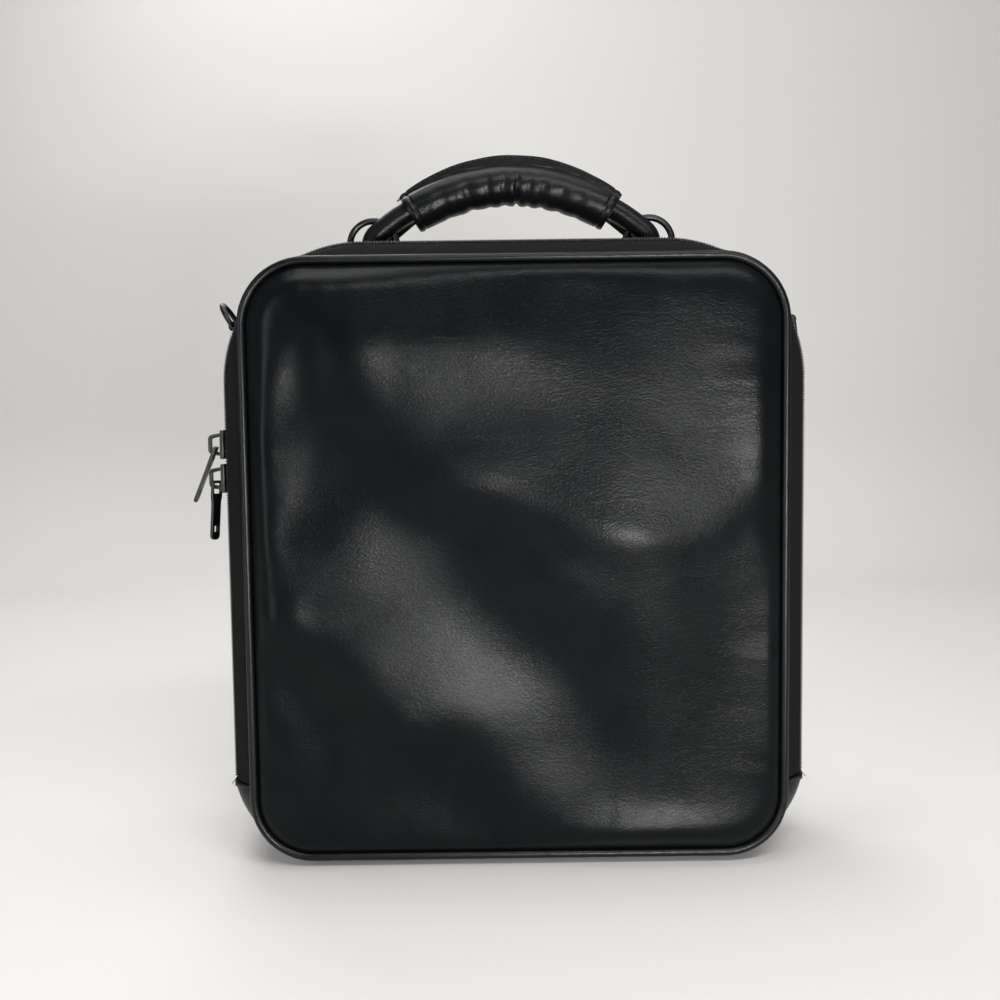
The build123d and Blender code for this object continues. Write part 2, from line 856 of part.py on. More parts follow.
for name, height, mouth in (
    ("slider_upper", upper_slider_height, -1),
    ("slider_lower", lower_slider_height, 1),
):
    with BuildPart() as zip_slider:
        add(slider(height, mouth))
    zip_slider.part.label = name
    export_step(zip_slider.part, f"parts/{name}.step")

# Pulls: flat tongues with an eye round the bridge and a small slot near the tip. The tilt is
# outward from straight down, and the lower pull is turned about its own length.
for name, height, tilt, twist in (
    ("pull_upper", upper_slider_height, upper_pull_tilt, 0.0),
    ("pull_lower", lower_slider_height, lower_pull_tilt, lower_pull_twist),
):
    across = Vector(0, 1, 0)
    outward = Vector(-cos(radians(tilt)), 0, sin(radians(tilt)))
    turned_across = across * cos(radians(twist)) + outward * sin(radians(twist))
    turned_outward = outward * cos(radians(twist)) - across * sin(radians(twist))
    pull_plane = Plane(
        origin=(pull_pin_x, zip_y, height - pull_pin_drop),
        x_dir=turned_across,
        z_dir=turned_outward,
    )
    head = pull_head_width / 2
    tongue = pull_width / 2
    pull_corners = [pull_head_corner] * 2 + [pull_neck_corner] * 2
    pull_corners += [pull_tip_corner] * 2 + [pull_neck_corner] * 2
    with BuildPart() as pull:
        with BuildSketch(pull_plane):
            with BuildLine():
                FilletPolyline(
                    (-head, -pull_thickness / 2),
                    (head, -pull_thickness / 2),
                    (head, pull_head_end),
                    (tongue, pull_neck_end),
                    (tongue, pull_length),
                    (-tongue, pull_length),
                    (-tongue, pull_neck_end),
                    (-head, pull_head_end),
                    radius=pull_corners,
                    close=True,
                )
            make_face()
            eye_length = pull_eye_end - pull_thickness / 2
            with Locations((0, pull_thickness / 2 + eye_length / 2)):
                RectangleRounded(
                    pull_eye_width, eye_length, pull_eye_corner, mode=Mode.SUBTRACT
                )
            with Locations((0, pull_slot_place)):
                Rectangle(pull_slot_width, pull_slot_length, mode=Mode.SUBTRACT)
        extrude(amount=pull_thickness / 2, both=True)
    pull.part.label = name
    export_step(pull.part, f"parts/{name}.step")
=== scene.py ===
import bmesh
import bpy
import numpy as np
from math import atan2, cos, exp, pi, radians, sin
from mathutils import Matrix, Vector, noise


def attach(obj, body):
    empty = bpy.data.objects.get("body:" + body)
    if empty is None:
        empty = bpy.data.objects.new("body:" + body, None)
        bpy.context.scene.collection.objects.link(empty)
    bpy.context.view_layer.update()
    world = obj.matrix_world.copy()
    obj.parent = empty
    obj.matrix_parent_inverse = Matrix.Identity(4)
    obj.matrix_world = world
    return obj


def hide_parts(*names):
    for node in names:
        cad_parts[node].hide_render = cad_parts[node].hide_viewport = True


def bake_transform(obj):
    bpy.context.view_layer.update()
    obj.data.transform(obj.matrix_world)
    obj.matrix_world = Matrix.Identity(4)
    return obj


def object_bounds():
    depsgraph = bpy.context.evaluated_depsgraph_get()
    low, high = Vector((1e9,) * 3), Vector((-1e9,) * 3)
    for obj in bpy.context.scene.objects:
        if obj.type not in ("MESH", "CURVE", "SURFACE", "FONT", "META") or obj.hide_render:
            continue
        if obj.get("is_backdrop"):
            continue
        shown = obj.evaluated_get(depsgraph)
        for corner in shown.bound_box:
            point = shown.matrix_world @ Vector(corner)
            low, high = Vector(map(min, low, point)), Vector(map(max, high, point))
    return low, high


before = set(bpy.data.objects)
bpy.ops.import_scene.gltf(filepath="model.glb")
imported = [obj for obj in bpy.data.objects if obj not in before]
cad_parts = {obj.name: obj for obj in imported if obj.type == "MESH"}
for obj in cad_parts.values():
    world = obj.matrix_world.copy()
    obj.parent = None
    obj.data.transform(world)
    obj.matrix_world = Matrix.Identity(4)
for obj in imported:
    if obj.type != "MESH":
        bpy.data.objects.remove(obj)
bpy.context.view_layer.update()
bpy.ops.object.select_all(action="DESELECT")

# Stage: a plain pale floor that rises into a plain pale wall well behind the case. Both are
# matt paint, and neither belongs to the case.
wall_y, wall_height, floor_front_y, stage_half, sweep_radius = 1.30, 2.6, -3.0, 3.0, 0.25
at_edge = 0.01


def pick(piece, kind, test):
    """In edit mode, select the vertices, edges or faces whose middle passes the test."""
    bpy.ops.mesh.select_mode(type=kind)
    bpy.ops.mesh.select_all(action="DESELECT")
    mesh = bmesh.from_edit_mesh(piece.data)
    for part in {"VERT": mesh.verts, "EDGE": mesh.edges, "FACE": mesh.faces}[kind]:
        corners = [part] if kind == "VERT" else part.verts
        if test(sum((v.co for v in corners), Vector()) / len(corners)):
            part.select_set(True)
    mesh.select_flush_mode()
    bmesh.update_edit_mesh(piece.data)


bpy.ops.mesh.primitive_plane_add(size=2)
stage = bpy.context.object
stage.name = "stage"
bpy.ops.object.mode_set(mode="EDIT")
bpy.ops.transform.resize(value=(stage_half, (wall_y - floor_front_y) / 2, 1))
bpy.ops.transform.translate(value=(0, (wall_y + floor_front_y) / 2, 0))
pick(stage, "EDGE", lambda place: place.y > wall_y - at_edge)
bpy.ops.mesh.extrude_edges_move(TRANSFORM_OT_translate={"value": (0, 0, wall_height)})
pick(stage, "EDGE", lambda place: (
    place.y > wall_y - at_edge and place.z < at_edge and abs(place.x) < at_edge))
bpy.ops.mesh.bevel(offset=sweep_radius, segments=16, affect="EDGES")
bpy.ops.object.mode_set(mode="OBJECT")
bpy.ops.object.shade_smooth()
stage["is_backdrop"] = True


class Value:
    """A number that changes over a surface, so that sums and products of them read as such."""

    def __init__(self, tree, socket):
        self.tree, self.socket = tree, socket

    def math(self, operation, *others):
        node = self.tree.nodes.new("ShaderNodeMath")
        node.operation = operation
        for port, value in zip(node.inputs, (self, *others)):
            if isinstance(value, Value):
                self.tree.links.new(value.socket, port)
            else:
                port.default_value = value
        return Value(self.tree, node.outputs[0])

    def __add__(self, other):
        return self.math("ADD", other)

    def __sub__(self, other):
        return self.math("SUBTRACT", other)

    def __rsub__(self, other):
        return self.math("MULTIPLY_ADD", -1.0, other)

    def __mul__(self, other):
        return self.math("MULTIPLY", other)

    __radd__, __rmul__ = __add__, __mul__


class Finish:
    """A material in the making, round one Principled shader."""

    def __init__(self, name, color, roughness, **constants):
        self.material = bpy.data.materials.new(name)
        self.material.use_nodes = True
        self.tree = self.material.node_tree
        self.shader = self.tree.nodes["Principled BSDF"]
        constants = {key.replace("_", " ").title(): value for key, value in constants.items()}
        constants |= {"Base Color": (*color, 1), "Roughness": roughness}
        for port, value in constants.items():
            self.shader.inputs[port.replace("Ior", "IOR")].default_value = value
        self.place = self.add("TexCoord", output="Object")

    def add(self, kind, settings=None, ports=None, output=0):
        """One node: its settings first, then the values or links of its sockets."""
        node = self.tree.nodes.new("ShaderNode" + kind)
        for key, value in (settings or {}).items():
            if key == "stops":
                for stop, (position, shade) in zip(node.color_ramp.elements, value):
                    stop.position = position
                    stop.color = (shade, shade, shade, 1)
            else:
                setattr(node, key, value)
        for key, value in (ports or {}).items():
            if isinstance(value, Value):
                self.tree.links.new(value.socket, node.inputs[key])
            else:
                node.inputs[key].default_value = value
        return Value(self.tree, node.outputs[output])

    def noise(self, scale, detail=2.0, distortion=0.0, place=None):
        ports = {"Vector": place or self.place, "Scale": scale, "Detail": detail}
        return self.add("TexNoise", ports=ports | {"Distortion": distortion})

    def ramp(self, value, *stops):
        """Grey between two stops, each a position and a shade."""
        return self.add("ValToRGB", {"stops": stops}, {"Fac": value})

    def mix(self, factor, first, second):
        return self.add("Mix", {"data_type": "RGBA"}, {0: factor, 6: first, 7: second}, output=2)

    def stretched(self, x, y, z, turn):
        """The surface's own place, scaled unevenly so that a pattern runs long one way."""
        ports = {"Vector": self.place, "Scale": (x, y, z), "Rotation": turn}
        return self.add("Mapping", ports=ports)

    def feed(self, port, value):
        self.tree.links.new(value.socket, self.shader.inputs[port])

    def bump(self, height, depth):
        """Relief of the given depth in metres."""
        ports = {"Height": height, "Distance": depth, "Strength": 1.0}
        self.feed("Normal", self.add("Bump", ports=ports))

    def on(self, *pieces):
        for piece in pieces:
            if not piece.material_slots:
                piece.data.materials.append(None)
            piece.material_slots[0].material = self.material


paint = Finish("pale paint", (0.80, 0.785, 0.765), 0.9, specular_ior_level=0.2)
paint.bump(paint.noise(600.0), 0.0001)
paint.on(stage)

# Light: soft lamps in a dim room. A small one stands low by the camera on the right and makes the
# sheen. The others stand high in front, at the left, overhead and behind, and one lights the wall.
# The two low lamps spread their light less, which keeps it off the floor nearest to them.
lamps = (  # name, place, target, width, height, watts, spread in degrees
    ("lamp_near", (0.229, -0.97, 0.146), (0, 0, 0.20), 0.27, 0.060, 2.6, 100),
    ("lamp_high", (0.30, -0.95, 1.25), (0, 0, 0.20), 1.10, 0.16, 9.5, 180),
    ("lamp_left", (-0.85, -0.75, 0.35), (0, 0, 0.20), 0.35, 0.70, 1.2, 110),
    ("lamp_top", (-0.10, -0.10, 1.60), (0, 0, 0.20), 1.00, 0.80, 5.0, 180),
    ("lamp_back", (-0.45, 1.05, 1.45), (0, 0, 0.20), 0.90, 0.60, 8.0, 180),
    ("lamp_wall", (0.0, 0.15, 2.30), (0, 1.3, 0.3), 2.20, 0.60, 11.0, 180),
)
for name, place, target, width, height, watts, spread in lamps:
    bpy.ops.object.light_add(type="AREA", location=place)
    lamp = bpy.context.object
    lamp.name = name
    lamp.data.shape = "RECTANGLE"
    lamp.data.size, lamp.data.size_y, lamp.data.energy = width, height, watts
    lamp.data.spread = radians(spread)
    lamp.rotation_euler = (Vector(place) - Vector(target)).to_track_quat("Z", "Y").to_euler()
    lamp.visible_camera = False
room_color, room_strength = (0.98, 0.99, 1.0, 1), 0.16
world = bpy.data.worlds.new("room")
world.use_nodes = True
world.node_tree.nodes["Background"].inputs["Color"].default_value = room_color
world.node_tree.nodes["Background"].inputs["Strength"].default_value = room_strength
bpy.context.scene.world = world
bpy.context.scene.view_settings.view_transform = "Standard"

# Camera at the photograph's place: level with the upper third of the case, tipped down a little
# and rolled a little, as it was held by hand.
camera_place, lens, sensor_width = (-0.0091, -0.6923, 0.265), 40.32, 36.0
pitch, roll = radians(4.32), radians(0.75)
bpy.ops.object.camera_add(location=camera_place)
camera = bpy.context.object
camera.data.lens, camera.data.sensor_width = lens, sensor_width
aim = Matrix.Rotation(pi / 2 - pitch, 3, "X") @ Matrix.Rotation(-roll, 3, "Z")
camera.rotation_euler = aim.to_euler()
bpy.context.scene.camera = camera

# Front panel: soft black leather drawn over foam and sewn to the piping all round. It is crowned
# near its edge, and the leather lies in broad soft waves between.
panel_half, panel_low, panel_high = 0.1532, 0.0090, 0.3517
panel_low_corner, panel_high_corner = 0.0317, 0.0347
panel_rim_y, panel_rim_depth, rows_across, rows_up = 0.048, 0.0018, 190, 212
edge_reach, crown_reach, fold_reach, end_reach = 0.0056, 0.026, 0.008, 0.030
gather_pitch, gather_length, gather_reach, stitch_reach = 0.0085, 0.030, 0.020, 0.0025
slack_width, slack_height, slack_reach, slack_rise = 0.036, 0.028, 0.010, 0.00022
gather_seed, end_seed, slack_seed = 3.7, 9.0, 8.1


def leather_finish(name, grain_depth, crease_depth, gloss, level=0.24):
    """Soft black leather: fine grain, small wandering creases, and patches a little drier."""
    fresh, rubbed = (0.0026, 0.0032, 0.0037, 1), (0.0044, 0.0051, 0.0056, 1)
    finish = Finish(name, (0.0036, 0.0042, 0.0048), gloss + 0.05, specular_ior_level=level)
    level_lines = finish.stretched(620.0, 620.0, 1250.0, (0, radians(8), 0))
    grain = finish.noise(1.0, 2.0, 0.5, level_lines)
    pores = finish.noise(2400.0, 3.0)
    patches = finish.noise(22.0, 4.0, 0.6)
    slanted_lines = finish.stretched(70.0, 70.0, 150.0, (0, radians(30), 0))
    creases = finish.noise(1.0, 4.0, 1.0, slanted_lines)
    worn = finish.ramp(patches, (0.30, 0.0), (0.72, 1.0))
    finish.feed("Base Color", finish.mix(worn, fresh, rubbed))
    finish.feed("Roughness", gloss + worn * 0.06 + pores * 0.05)
    finish.bump(grain + pores * 0.35 + creases * (crease_depth / grain_depth), grain_depth)
    return finish


def fold(x, z, crest, height, upper, lower):
    """How far one soft fold lifts the points x and z, all in metres, from a fold in millimetres.

    The crest line's corners are rounded by averaging each station with its neighbours. The width
    changes softly from one side to the other, and a bend's far stretch counts for little."""
    stations, neighbours, side_change, far = np.linspace(0, 1, 41), 4, 5, 20
    spots, window = np.linspace(0, 1, len(crest)), np.ones(2 * neighbours + 1)
    line = [np.interp(stations, spots, along) for along in zip(*crest)]
    line = [np.pad(along, neighbours, mode="reflect", reflect_type="odd") for along in line]
    line = np.array([np.convolve(along, window / len(window), "valid") for along in line])
    run = np.gradient(line, axis=1)
    run /= np.hypot(*run)
    away_x, away_z = x[:, None] * 1000 - line[0], z[:, None] * 1000 - line[1]
    distance = np.hypot(away_x, away_z)
    across = (away_x * run[1] - away_z * run[0]) / side_change
    above = 1 / (1 + np.exp(np.clip(across, -30, 30)))
    near = np.exp(-(distance ** 2 - distance.min(axis=1, keepdims=True) ** 2) / far ** 2)
    width = lower + (upper - lower) * above
    shape = np.sin(pi * stations) ** 0.7 * np.exp(-(distance / width) ** 2)
    return height * 0.001 * (near * shape).sum(axis=1) / near.sum(axis=1)


def crowned_panel(name, side, edge_rise, crown_rise, folds, pucker):
    """A grid laid over the panel, rounded at its corners, raised to its crown and folded."""
    bpy.ops.mesh.primitive_grid_add(
        x_subdivisions=rows_across, y_subdivisions=rows_up, size=2, rotation=(pi / 2, 0, 0)
    )
    bpy.ops.object.transform_apply(location=False, rotation=True, scale=True)
    panel = bpy.context.object
    panel.name = name
    half_height, middle = (panel_high - panel_low) / 2, (panel_high + panel_low) / 2
    flat = np.array([vertex.co for vertex in panel.data.vertices])
    x, z = flat[:, 0] * panel_half, flat[:, 2] * half_height
    to_side, to_end = panel_half - abs(x), half_height - abs(z)
    corner = np.where(z > 0, panel_high_corner, panel_low_corner)
    over_x, over_z = np.clip(1 - to_side / corner, 0, 1), np.clip(1 - to_end / corner, 0, 1)
    in_corner = (over_x > 0) & (over_z > 0)
    bent_x, bent_z = over_x * np.sqrt(1 - over_z ** 2 / 2), over_z * np.sqrt(1 - over_x ** 2 / 2)
    x = np.where(in_corner, np.sign(x) * (panel_half - corner * (1 - bent_x)), x)
    z = np.where(in_corner, np.sign(z) * (half_height - corner * (1 - bent_z)), z) + middle
    corner_inset = corner * (1 - np.hypot(bent_x, bent_z))
    inset = np.maximum(np.where(in_corner, corner_inset, np.minimum(to_side, to_end)), 0)
    rise = edge_rise * (1 - np.exp(-inset / edge_reach))
    rise += crown_rise * (1 - np.exp(-to_side / crown_reach)) * (1 - np.exp(-to_end / crown_reach))
    for shape in folds:
        rise += fold(x, z, *shape) * (1 - np.exp(-((inset / fold_reach) ** 2)))
    toward_end = np.clip(0.5 + (to_side - to_end) / end_reach, 0, 1)
    for index, (place_x, place_z, depth) in enumerate(zip(x, z, inset)):
        gathers = [
            noise.noise(Vector((run / gather_pitch, depth / gather_length, seed)))
            for run, seed in (
                (place_z, gather_seed * side), (place_x, gather_seed * side + end_seed),
            )
        ]
        gather = gathers[0] * (1 - toward_end[index]) + gathers[1] * toward_end[index]
        fading = exp(-depth / gather_reach) * (1 - exp(-depth / stitch_reach))
        rise[index] += pucker * gather * fading
        slack = noise.noise(
            Vector((place_x / slack_width, place_z / slack_height, slack_seed * side)))
        rise[index] += slack_rise * slack * (1 - exp(-depth / slack_reach))
        panel.data.vertices[index].co = (place_x, side * (panel_rim_y + rise[index]), place_z)
    bpy.ops.object.mode_set(mode="EDIT")
    bpy.ops.mesh.select_all(action="DESELECT")
    bpy.ops.mesh.select_mode(type="EDGE")
    bpy.ops.mesh.select_non_manifold()
    inward = (0, -side * panel_rim_depth, 0)
    bpy.ops.mesh.extrude_edges_move(TRANSFORM_OT_translate={"value": inward})
    bpy.ops.mesh.edge_face_add()
    bpy.ops.mesh.select_all(action="SELECT")
    bpy.ops.mesh.normals_make_consistent(inside=False)
    bpy.ops.object.mode_set(mode="OBJECT")
    bpy.ops.object.shade_smooth_by_angle(angle=radians(60))
    return panel


# Each fold in millimetres: its crest or valley line from end to end, its height (below zero for a
# valley), and its width on either side.
front_folds = (
    (((-141, 292), (-121, 354), (-64, 233), (-29, 218), (29, 190), (15, 164)), 7.0, 34, 21),
    (((-139, 283), (-77, 277), (-47, 175), (14, 132), (40, 84), (42, 69), (90, 46)),
     -6.0, 28, 45),
    (((-58, 242), (-142, 139), (-102, 123), (-75, 93), (-27, 87), (-11, 39), (50, 26)),
     5.0, 29, 17),
    (((26, 13), (73, 16), (146, 17)), 7.0, 17, 34),
    (((117, 205), (100, 198), (54, 202)), 4.0, 17, 45),
    (((-131, 320), (-25, 339), (81, 327)), -4.3, 17, 30),
    (((-155, 240), (-158, 248), (-126, 328)), 7.0, 43, 17),
    (((-143, 179), (-155, 196), (-136, 226)), 6.6, 44, 17),
    (((-149, 147), (-142, 138), (-121, 206)), 4.8, 24, 17),
    (((-143, 78), (-124, 109), (-139, 136)), -2.3, 17, 17),
    (((-111, 31), (-77, 79), (-49, 76)), 5.8, 17, 19),
    (((-116, 275), (-88, 317), (27, 311)), 7.0, 45, 29),
    (((29, 179), (72, 169), (94, 103)), 4.0, 40, 29),
    (((-139, 132), (-116, 99), (-93, 47)), -6.0, 17, 22),
    (((-108, 40), (-45, 49), (-20, 27)), -6.0, 38, 29),
    (((139, 178), (120, 116), (136, 35)), -4.3, 30, 38),
    (((-37, 206), (-10, 203), (71, 166)), -6.0, 17, 17),
    (((140, 297), (148, 248), (158, 221)), 3.6, 26, 17),
    (((24, 238), (56, 228), (83, 222)), 3.4, 45, 22),
    (((12, 195), (54, 192), (81, 185)), 5.8, 24, 36),
)
front_panel = crowned_panel("front_panel_leather", -1, 0.0060, 0.0011, front_folds, 0.0005)
panel_leather = leather_finish("panel leather", 0.00013, 0.00010, 0.18, 0.090)
panel_leather.on(front_panel)
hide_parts("front_panel", "front_panel_foot", "front_padding", "foot_padding")
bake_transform(front_panel)

# Back panel: made as the front one, but flatter and firmer, on its own board.
back_folds = (
    (((-100, 300), (-40, 270), (20, 262)), 1.3, 34, 26),
    (((110, 210), (50, 150), (-10, 110)), 1.4, 30, 36),
    (((-90, 90), (-30, 70), (60, 60)), -1.0, 24, 24),
    (((146, 120), (130, 96), (104, 84)), 1.0, 12, 12),
)
back_panel = crowned_panel("back_panel_leather", 1, 0.0018, 0.0014, back_folds, 0.0003)
back_leather = leather_finish("back leather", 0.00018, 0.00016, 0.27)
back_leather.on(back_panel)
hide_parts("back_panel", "back_padding")
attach(back_panel, "case")

# Piping: a thin cord wrapped in a strip of the same leather and sewn into the seam all round
# each panel.
piping_radius, seam_y, pucker_pitch, pucker_depth, pucker_seed = 0.0025, 0.0475, 0.006, 0.00010, 2.3
seam_outline = (0.156, 0.0062, 0.3545, 0.0345, 0.0375)  # half width, low, high, their corners
trim_leather = leather_finish("trim leather", 0.00012, 0.00010, 0.25)


def new_piece(name):
    """An empty mesh to be filled in edit mode."""
    bpy.ops.object.select_all(action="DESELECT")
    bpy.ops.object.add(type="MESH")
    piece = bpy.context.object
    piece.name = piece.data.name = name
    bpy.ops.object.mode_set(mode="EDIT")
    return piece


def rounded_outline(piece, y, half, low, high, low_corner, high_corner, cuts=30, bends=14):
    """Adds one closed outline in the plane at y, as a plane with rounded corners, selected."""
    middle, side_middle = (low + high) / 2, (low + low_corner + high - high_corner) / 2

    def in_plane(place):
        return abs(place.y - y) < 1e-6

    bpy.ops.mesh.select_all(action="DESELECT")
    bpy.ops.mesh.primitive_plane_add(size=2, location=(0, y, middle), rotation=(pi / 2, 0, 0))
    bpy.ops.transform.resize(value=(half, 1, (high - low) / 2), center_override=(0, y, middle))
    for end, corner in ((high, high_corner), (low, low_corner)):
        pick(piece, "VERT", lambda place: in_plane(place) and abs(place.z - end) < 1e-5)
        bpy.ops.mesh.bevel(offset=corner, segments=bends, profile=0.5, affect="VERTICES")
    pick(piece, "EDGE", lambda place: in_plane(place) and (
        abs(place.x) < 1e-3 or abs(place.z - side_middle) < 1e-3))
    bpy.ops.mesh.subdivide(number_cuts=cuts)
    pick(piece, "FACE", in_plane)


def finished(piece, smooth=45.0):
    """Applies the piece's modifiers and smooths it up to an angle."""
    if bpy.context.mode != "OBJECT":
        bpy.ops.object.mode_set(mode="OBJECT")
    bpy.ops.object.select_all(action="DESELECT")
    piece.select_set(True)
    bpy.context.view_layer.objects.active = piece
    for modifier in list(piece.modifiers):
        bpy.ops.object.modifier_apply(modifier=modifier.name)
    bpy.ops.object.shade_smooth_by_angle(angle=radians(smooth))
    return piece


def as_guide(ends_at=None):
    """Turns the outline in edit mode into a curve, open where it is cut at a height."""
    if ends_at is not None:
        bpy.ops.mesh.select_all(action="SELECT")
        bpy.ops.mesh.bisect(plane_co=(0, 0, ends_at), plane_no=(0, 0, 1), clear_inner=True)
    bpy.ops.object.mode_set(mode="OBJECT")
    bpy.ops.object.convert(target="CURVE")
    return bpy.context.object


def piping(name, side):
    piece = new_piece(name)
    rounded_outline(piece, side * seam_y, *seam_outline, cuts=60, bends=20)
    bpy.ops.mesh.delete(type="ONLY_FACE")
    piece = as_guide()
    piece.data.bevel_depth, piece.data.bevel_resolution = piping_radius, 4
    bpy.ops.object.convert(target="MESH")
    piece = bpy.context.object
    for vertex in piece.data.vertices:
        run, height = vertex.co.x / pucker_pitch, vertex.co.z / pucker_pitch
        pull = noise.noise(Vector((run, height, pucker_seed * side)))
        vertex.co += vertex.normal * (pucker_depth * pull)
    return finished(piece)


front_piping = piping("front_piping_leather", -1)
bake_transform(front_piping)
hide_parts("front_piping", "front_piping_foot")
back_piping = piping("back_piping_leather", 1)
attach(back_piping, "case")
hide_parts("back_piping")
for piece in (front_piping, back_piping):
    trim_leather.on(piece)

# Gusset: a wide leather strip over both sides and the top, from the zip back to the piping. It
# is soft, so it sinks a little between its seams. Its front edge is turned under and sewn.
sewn_y, sewn_outline = 0.0470, (0.1562, 0.0064, 0.3547, 0.0347, 0.0377)
edge_y, edge_outline = 0.0447, (0.1585, 0.0045, 0.357, 0.0370, 0.0395)
zip_seam_y, flat_front_y, flat_back_y, gusset_front_y = -0.016, 0.002, 0.036, -0.022
zip_outline = (0.1703, 0.0, 0.3668, 0.052, 0.0818)
flat_outline = (0.1695, 0.0, 0.356, 0.052, 0.030)
fold_height, fold_gap, band_thickness = 0.049, 0.0003, 0.002
ruffle_length, ruffle_width, ruffle_seed = 0.05, 0.03, 4.0
wrinkle_length, wrinkle_width, wrinkle_share = 0.014, 0.018, 0.25


def band(name, stations, step=0.0035, keep=1):
    """A sheet through rounded outlines, one behind the other.

    Where keep is 1 it is cut to what lies above the fold, and where it is -1 to what lies below."""
    piece = new_piece(name)
    for y, outline in stations:
        rounded_outline(piece, y, *outline)
        bpy.ops.mesh.delete(type="ONLY_FACE")
    for (near, _), (far, _) in zip(stations, stations[1:]):
        pick(piece, "EDGE", lambda place: min(abs(place.y - near), abs(place.y - far)) < 1e-6)
        cuts = max(0, round((far - near) / step) - 1)
        bpy.ops.mesh.bridge_edge_loops(number_cuts=cuts, interpolation="LINEAR")
    if keep:
        bpy.ops.mesh.select_all(action="SELECT")
        bpy.ops.mesh.bisect(
            plane_co=(0, 0, fold_height + keep * fold_gap), plane_no=(0, 0, keep), clear_inner=True
        )
    bpy.ops.mesh.select_all(action="SELECT")
    bpy.ops.mesh.normals_make_consistent(inside=False)
    bpy.ops.object.mode_set(mode="OBJECT")
    return piece


def sink(piece, near, far, depth, ruffle, seed):
    """Lets the leather between two seams sink and ruffle, most in the middle."""
    for vertex in piece.data.vertices:
        x, y, z = vertex.co
        share = max(0.0, 1 - abs(2 * y - near - far) / (far - near))
        loose = noise.noise(
            Vector((x / ruffle_length, y / ruffle_width + seed, z / ruffle_length)))
        fine = noise.noise(
            Vector((x / wrinkle_length, y / wrinkle_width, z / wrinkle_length + seed)))
        move = ruffle * (loose + wrinkle_share * fine) - depth * share
        vertex.co += vertex.normal * (move * min(1.0, 3 * share))


def thickened(piece, thickness, levels=1):
    """Gives a sheet its thickness inwards; subdividing it rounds its edges over."""
    wall = piece.modifiers.new("wall", "SOLIDIFY")
    wall.thickness, wall.offset = thickness, -1
    if levels:
        fine = piece.modifiers.new("fine", "SUBSURF")
        fine.levels = fine.render_levels = levels
    return finished(piece)


gusset_rows = (
    (gusset_front_y, zip_outline), (zip_seam_y, zip_outline), (flat_front_y, flat_outline),
    (flat_back_y, flat_outline), (edge_y, edge_outline), (sewn_y, sewn_outline),
)
gusset = band("gusset_leather", gusset_rows)
sink(gusset, zip_seam_y, edge_y, 0.0012, 0.0012, ruffle_seed)
thickened(gusset, band_thickness)
band_leather = leather_finish("band leather", 0.00018, 0.00016, 0.27)
band_leather.on(gusset)
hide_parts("gusset")
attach(gusset, "case")

# Base: one leather band from panel to panel, which comes a little way up each side and covers
# the ends of the zip there. Each end is turned under, which leaves a raised hem.
front_tab_y, front_tab_outline = -0.0365, (0.1710, 0.0034, 0.367, 0.056, 0.082)
tab_y, tab_outline = -0.028, (0.1715, 0.0003, 0.367, 0.056, 0.082)
flank_outline = (0.1705, 0.0003, 0.367, 0.054, 0.082)
hem_rise, hem_height, hem_thickness, base_seed = 0.0005, 0.0030, 0.0010, 9.0
base_rows = (
    (-sewn_y, sewn_outline), (-edge_y, edge_outline), (front_tab_y, front_tab_outline),
    (tab_y, tab_outline), (zip_seam_y, tab_outline), (flat_front_y, flank_outline),
    (flat_back_y, flank_outline), (edge_y, edge_outline), (sewn_y, sewn_outline),
)
base_band = band("base_leather", base_rows, keep=-1)
sink(base_band, front_tab_y, flat_back_y, 0.0001, 0.0003, base_seed)
thickened(base_band, band_thickness)
hem_rows = [
    (y, (half + hem_rise, low - hem_rise, high, low_corner + hem_rise, high_corner))
    for y, (half, low, high, low_corner, high_corner) in base_rows[1:-2]
]
base_hem = band("base_hem_leather", hem_rows, keep=-1)
bpy.ops.object.mode_set(mode="EDIT")
bpy.ops.mesh.select_all(action="SELECT")
bpy.ops.mesh.bisect(
    plane_co=(0, 0, fold_height - fold_gap - hem_height), plane_no=(0, 0, 1), clear_inner=True
)
thickened(base_hem, hem_thickness)
for piece in (base_band, base_hem):
    band_leather.on(piece)
    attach(piece, "case")
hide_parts("bottom_gusset")

# Zip tapes: matt woven strips either side of the chain. The front one slopes out from the
# front panel's seam, and the rear one is tucked under the gusset.
tape_outline, tape_thickness = (0.1680, 0.005, 0.3645, 0.052, 0.0795), 0.0012
tape_bend_y, front_edge_y, rear_edge_y, tape_tuck_y = -0.0365, -0.0306, -0.0294, -0.0165
rib_pitch, pick_pitch, pick_slant = 0.00075, 0.00090, 0.0015
tape_cloth = Finish("zip tape", (0.006, 0.0064, 0.006), 0.85, specular_ior_level=0.12)
x, y, z = (
    tape_cloth.add("SeparateXYZ", ports={"Vector": tape_cloth.place}, output=axis)
    for axis in range(3)
)
rib = (y * (2 * pi / rib_pitch)).math("SINE")
along = z - x.math("ABSOLUTE")
pick_line = (along * (2 * pi / pick_pitch) + y * (2 * pi / pick_slant)).math("SINE")
weave = rib * 0.5 + pick_line * 0.5
tape_cloth.feed("Base Color", tape_cloth.mix(
    tape_cloth.ramp(weave * 0.5 + 0.5, (0.2, 0.0), (0.9, 1.0)),
    (0.0030, 0.0033, 0.0030, 1), (0.0095, 0.0100, 0.0095, 1)))
tape_cloth.bump(weave + tape_cloth.noise(900.0) * 0.6, 0.00016)
front_tape = band("front_zip_tape", (
    (-sewn_y, sewn_outline), (-edge_y, edge_outline), (tape_bend_y, tape_outline),
    (front_edge_y, tape_outline),
))
rear_tape = band("rear_zip_tape", ((rear_edge_y, tape_outline), (tape_tuck_y, tape_outline)))
for piece, node, body in (
    (front_tape, "zip_tape_front", "lid"), (rear_tape, "zip_tape_rear", "case"),
):
    thickened(piece, tape_thickness, levels=0)
    tape_cloth.on(piece)
    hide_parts(node)
    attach(piece, body)

